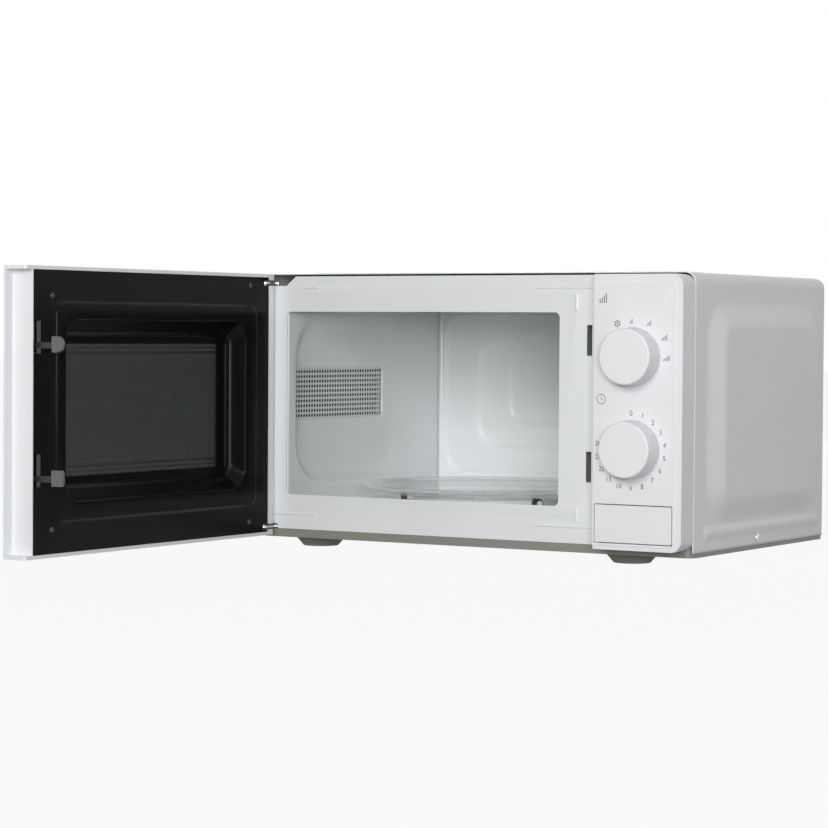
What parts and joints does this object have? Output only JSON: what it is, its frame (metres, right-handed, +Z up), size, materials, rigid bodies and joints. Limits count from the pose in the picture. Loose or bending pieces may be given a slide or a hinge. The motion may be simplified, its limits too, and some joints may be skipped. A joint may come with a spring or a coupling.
{
  "type": "microwave oven",
  "caption": "White countertop microwave oven with its side-hinged door open, two control dials, a push-button door release, and a glass turntable in a lit steel cavity.",
  "frame": {"origin": "centre of the case's footprint on the worktop, at the level of the undersides of the feet", "axes": "+Z up, -Y out of the oven's front (door and controls), +X to the user's right"},
  "size_m": [0.464, 0.6555, 0.2577],
  "materials": {
    "white_enamel_steel": "semi-gloss",
    "white_plastic": "satin",
    "black_enamel_steel": "gloss",
    "black_screen": "satin",
    "smoked_glass": "gloss",
    "clear_glass": "gloss",
    "grey_plastic": "satin",
    "warm_grey_rubber": "matt",
    "bright_steel": "satin",
    "zinc_screw": "satin",
    "dark_plastic": "satin",
    "mica": "satin",
    "white_nylon": "satin",
    "black_nylon": "satin",
    "lamination": "satin",
    "copper_winding": "satin",
    "aluminium": "satin",
    "circuit_board": "satin",
    "spring_steel": "satin",
    "yellow_plastic": "satin"
  },
  "bodies": {
    "oven": {"outer_case": "white_enamel_steel", "case_screws": "zinc_screw", "base_plate": "white_enamel_steel", "back_panel": "white_enamel_steel", "cord_gland": "dark_plastic", "front_plate": "white_enamel_steel", "cavity_shell": "white_enamel_steel", "vent_grille": "bright_steel", "waveguide_cover": "mica", "control_panel": "white_plastic", "interlock_bracket": "white_nylon", "interlock_switches": "dark_plastic", "upper_hinge": "bright_steel", "lower_hinge": "bright_steel", "timer_unit": "dark_plastic", "bell": "bright_steel", "power_selector": "dark_plastic", "turntable_motor": "lamination", "waveguide": "bright_steel", "magnetron_yoke": "bright_steel", "magnetron_core": "copper_winding", "transformer_core": "lamination", "transformer_windings": "copper_winding", "capacitor": "aluminium", "capacitor_clamp": "bright_steel", "high_voltage_diode": "dark_plastic", "fan_shroud": "white_plastic", "fan_motor": "lamination", "lamp_holder": "bright_steel", "cavity_lamp": "clear_glass", "filter_board": "circuit_board", "filter_components": "yellow_plastic", "thermal_cutouts": "dark_plastic", "foot_front_left": "warm_grey_rubber", "foot_front_right": "warm_grey_rubber", "foot_rear_left": "warm_grey_rubber", "foot_rear_right": "warm_grey_rubber", "button_spring": "spring_steel"},
    "door": {"door_frame": "white_plastic", "door_window": "smoked_glass", "door_inner_panel": "black_enamel_steel", "door_screen": "black_screen", "door_choke": "bright_steel", "door_screws": "zinc_screw", "latch_spring": "spring_steel"},
    "latch": {"door_latch": "grey_plastic"},
    "button": {"door_button": "white_plastic"},
    "lever": {"release_lever": "white_nylon"},
    "power_dial": {"power_knob": "white_plastic", "power_shaft": "white_nylon"},
    "timer_dial": {"timer_knob": "white_plastic", "timer_shaft": "white_nylon"},
    "fan": {"fan_blade": "black_nylon"},
    "turntable_drive": {"drive_shaft": "white_nylon", "turntable_coupler": "white_nylon"},
    "tray": {"glass_turntable": "clear_glass"},
    "roller": {"roller_ring": "black_nylon"},
    "wheel_1": {"roller_wheel_1": "white_nylon"},
    "wheel_2": {"roller_wheel_2": "white_nylon"},
    "wheel_3": {"roller_wheel_3": "white_nylon"}
  },
  "joints": [
    {"name": "door_hinge", "type": "hinge", "parent": "oven", "child": "door", "pos_m": [-0.215, -0.154, 0.132], "axis": [0, 0, 1], "range_deg": [-10, 90]},
    {"name": "latch_slide", "type": "slide", "parent": "door", "child": "latch", "axis": [0, 0, 1], "range_m": [-0.003, 0.004], "stiffness_N_per_m": 150, "deforming": ["latch_spring"]},
    {"name": "button_press", "type": "slide", "parent": "oven", "child": "button", "axis": [0, 1, 0], "range_m": [0, 0.005], "stiffness_N_per_m": 300, "deforming": ["button_spring"]},
    {"name": "lever_rock", "type": "hinge", "parent": "oven", "child": "lever", "pos_m": [0.14, -0.136, 0.066], "axis": [1, 0, 0], "range_deg": [0, 15]},
    {"name": "power_turn", "type": "hinge", "parent": "oven", "child": "power_dial", "pos_m": [0.1802, -0.17, 0.1833], "axis": [0, 1, 0], "range_deg": [0, 120]},
    {"name": "timer_turn", "type": "hinge", "parent": "oven", "child": "timer_dial", "pos_m": [0.1802, -0.17, 0.1037], "axis": [0, 1, 0], "range_deg": [0, 280]},
    {"name": "fan_spin", "type": "hinge", "parent": "oven", "child": "fan", "pos_m": [0.169, 0.12, 0.188], "axis": [0, 1, 0], "continuous": true},
    {"name": "turntable_spin", "type": "hinge", "parent": "oven", "child": "turntable_drive", "pos_m": [-0.051, -0.008, 0.05], "axis": [0, 0, 1], "continuous": true},
    {"name": "tray_lift", "type": "slide", "parent": "turntable_drive", "child": "tray", "axis": [0, 0, 1], "range_m": [0, 0.02]},
    {"name": "ring_roll", "type": "hinge", "parent": "oven", "child": "roller", "pos_m": [-0.051, -0.008, 0.0507], "axis": [0, 0, 1], "continuous": true},
    {"name": "wheel_1_spin", "type": "hinge", "parent": "roller", "child": "wheel_1", "pos_m": [-0.051, 0.076, 0.045], "axis": [0, 1, 0], "continuous": true},
    {"name": "wheel_2_spin", "type": "hinge", "parent": "roller", "child": "wheel_2", "pos_m": [-0.12375, -0.05, 0.045], "axis": [-0.866, -0.5, 0], "continuous": true},
    {"name": "wheel_3_spin", "type": "hinge", "parent": "roller", "child": "wheel_3", "pos_m": [0.02175, -0.05, 0.045], "axis": [0.866, -0.5, 0], "continuous": true}
  ],
  "couplings": [
    {"joint": "lever_rock", "follows": "button_press", "rad_per_m": 48},
    {"joint": "ring_roll", "follows": "turntable_spin", "ratio": 0.5},
    {"joint": "wheel_1_spin", "follows": "turntable_spin", "ratio": -8.75},
    {"joint": "wheel_2_spin", "follows": "turntable_spin", "ratio": -8.75},
    {"joint": "wheel_3_spin", "follows": "turntable_spin", "ratio": -8.75}
  ]
}
